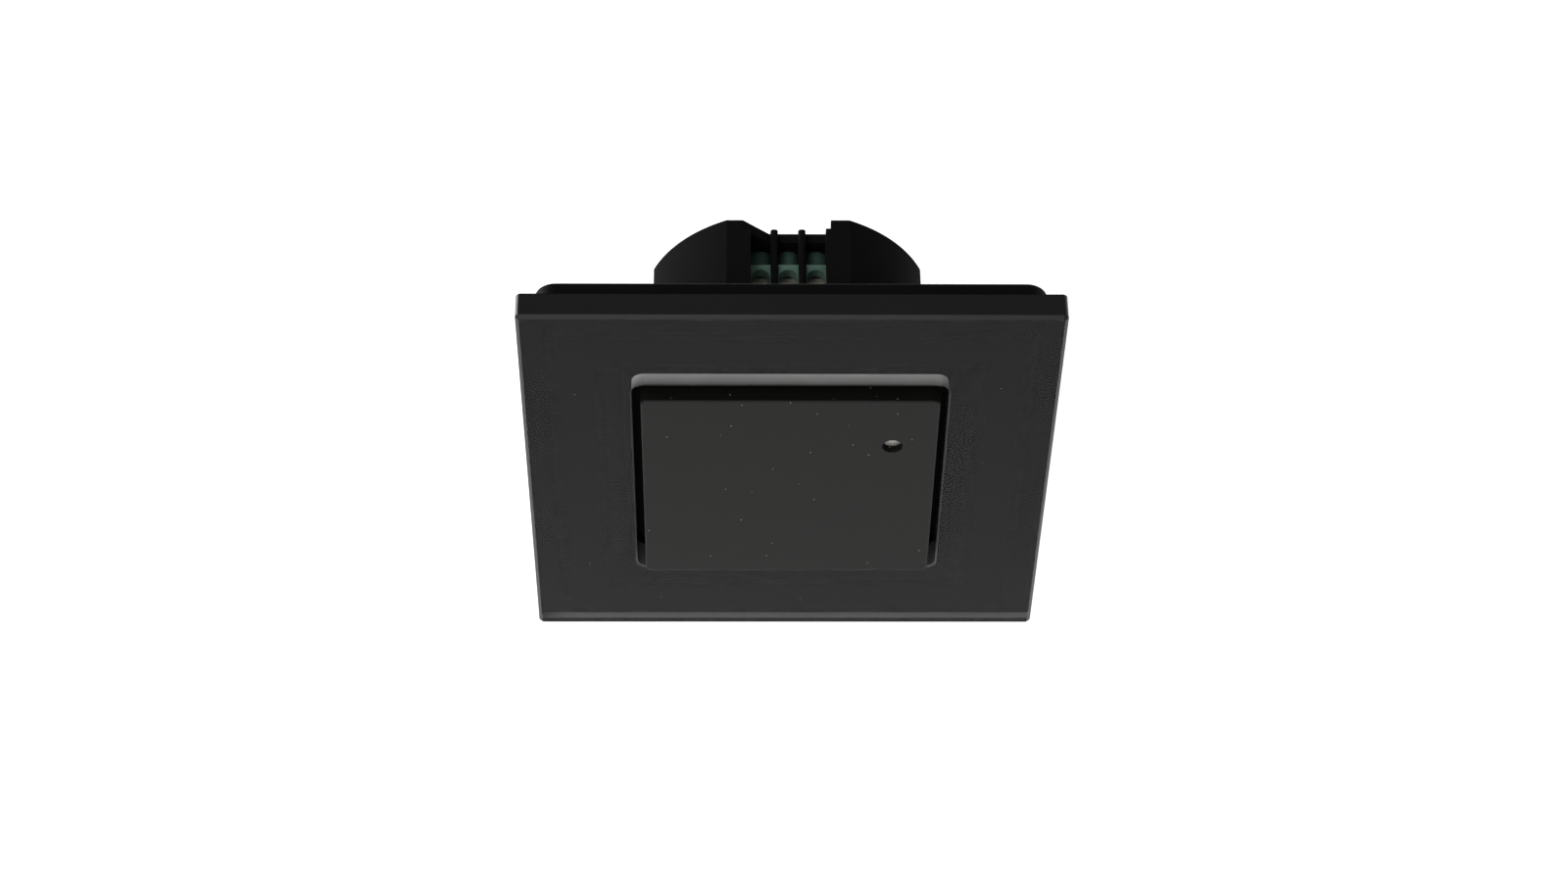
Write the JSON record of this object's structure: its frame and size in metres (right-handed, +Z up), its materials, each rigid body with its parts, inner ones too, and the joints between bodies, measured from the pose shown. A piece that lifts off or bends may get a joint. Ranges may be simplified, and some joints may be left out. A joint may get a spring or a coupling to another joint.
{
  "type": "microwave motion sensor",
  "caption": "Black square wall-mounted microwave motion sensor: glass frame, raised plastic cover with a small lens, and a round drum with screw terminals for a wall box.",
  "frame": {"origin": "middle of the wall screw pattern, on the back face of the mounting plate, which is the wall's face", "axes": "+X to the viewer's right as seen from the front, +Y into the wall, +Z up"},
  "size_m": [0.08, 0.0366, 0.08],
  "materials": {
    "clear_glass": "polished, black coat behind",
    "foam_tape": "matt",
    "black_polycarbonate": "satin, moulded",
    "cover_plastic": "fine matt grain",
    "lens_plastic": "milky, polished",
    "zinc_steel": "zinc plated, stamped",
    "plated_screw": "nickel plated",
    "green_laminate": "solder mask",
    "radio_laminate": "bare laminate",
    "gold_copper": "gold flashed copper",
    "tinned_can": "tinned",
    "chip_epoxy": "matt",
    "clear_resin": "clear",
    "connector_plastic": "moulded",
    "trimmer_plastic": "moulded",
    "rotor_plastic": "moulded",
    "relay_plastic": "moulded",
    "film_case": "moulded",
    "varistor_coat": "dipped",
    "resistor_coat": "painted",
    "can_sleeve": "shrunk sleeve",
    "ferrite": "ground",
    "winding_tape": "film tape",
    "terminal_polyamide": "moulded",
    "nickelled_brass": "nickel plated"
  },
  "bodies": {
    "base": {"mounting_plate": "zinc_steel", "rear_housing": "black_polycarbonate", "sensor_chassis": "black_polycarbonate", "housing_screws": "plated_screw", "sensor_board": "green_laminate", "radar_board": "radio_laminate", "radar_antenna": "gold_copper", "radar_shield": "tinned_can", "radar_header": "connector_plastic", "microcontroller": "chip_epoxy", "sensor_chips": "chip_epoxy", "light_sensor": "clear_resin", "indicator_led": "clear_resin", "trimmer_bodies": "trimmer_plastic", "link_socket": "connector_plastic", "link_header": "connector_plastic", "power_board": "green_laminate", "board_screws": "plated_screw", "relay": "relay_plastic", "film_capacitor": "film_case", "varistor": "varistor_coat", "fuse_resistor": "resistor_coat", "bulk_capacitor": "can_sleeve", "output_capacitor": "can_sleeve", "bridge_rectifier": "chip_epoxy", "transformer_core": "ferrite", "transformer_winding": "winding_tape", "transformer_bobbin": "connector_plastic", "terminal_block": "terminal_polyamide", "contact_bars": "nickelled_brass"},
    "panel": {"glass_panel": "clear_glass", "panel_adhesive": "foam_tape", "panel_carrier": "black_polycarbonate"},
    "cover": {"cover_plate": "cover_plastic", "sensor_lens": "lens_plastic"},
    "trimmer_1": {"trimmer_rotor_1": "rotor_plastic"},
    "screw_1": {"terminal_screw_1": "plated_screw"},
    "clamp_1": {"terminal_clamp_1": "nickelled_brass"},
    "trimmer_2": {"trimmer_rotor_2": "rotor_plastic"},
    "screw_2": {"terminal_screw_2": "plated_screw"},
    "clamp_2": {"terminal_clamp_2": "nickelled_brass"},
    "trimmer_3": {"trimmer_rotor_3": "rotor_plastic"},
    "screw_3": {"terminal_screw_3": "plated_screw"},
    "clamp_3": {"terminal_clamp_3": "nickelled_brass"}
  },
  "joints": [
    {"name": "panel_release", "type": "slide", "parent": "base", "child": "panel", "axis": [0, -1, 0], "range_m": [0, 0.03]},
    {"name": "cover_release", "type": "slide", "parent": "base", "child": "cover", "axis": [0, -1, 0], "range_m": [0, 0.02]},
    {"name": "trimmer_1_turn", "type": "hinge", "parent": "base", "child": "trimmer_1", "pos_m": [0.0154, -0.0065, 0.002], "axis": [0, -1, 0], "range_deg": [-135, 135]},
    {"name": "trimmer_2_turn", "type": "hinge", "parent": "base", "child": "trimmer_2", "pos_m": [0.0154, -0.0065, -0.0038], "axis": [0, -1, 0], "range_deg": [-135, 135]},
    {"name": "trimmer_3_turn", "type": "hinge", "parent": "base", "child": "trimmer_3", "pos_m": [0.0154, -0.0065, -0.0096], "axis": [0, -1, 0], "range_deg": [-135, 135]},
    {"name": "screw_1_turn", "type": "hinge", "parent": "base", "child": "screw_1", "pos_m": [-0.0043, 0.02, 0.0132], "axis": [0, -1, 0], "range_deg": [0, 1080]},
    {"name": "clamp_1_rise", "type": "slide", "parent": "base", "child": "clamp_1", "axis": [0, 1, 0], "range_m": [0, 0.00135]},
    {"name": "screw_2_turn", "type": "hinge", "parent": "base", "child": "screw_2", "pos_m": [0, 0.02, 0.0132], "axis": [0, -1, 0], "range_deg": [0, 1080]},
    {"name": "clamp_2_rise", "type": "slide", "parent": "base", "child": "clamp_2", "axis": [0, 1, 0], "range_m": [0, 0.00135]},
    {"name": "screw_3_turn", "type": "hinge", "parent": "base", "child": "screw_3", "pos_m": [0.0043, 0.02, 0.0132], "axis": [0, -1, 0], "range_deg": [0, 1080]},
    {"name": "clamp_3_rise", "type": "slide", "parent": "base", "child": "clamp_3", "axis": [0, 1, 0], "range_m": [0, 0.00135]}
  ],
  "couplings": [
    {"joint": "screw_1_turn", "follows": "clamp_1_rise", "rad_per_m": 13962},
    {"joint": "screw_2_turn", "follows": "clamp_2_rise", "rad_per_m": 13962},
    {"joint": "screw_3_turn", "follows": "clamp_3_rise", "rad_per_m": 13962}
  ]
}
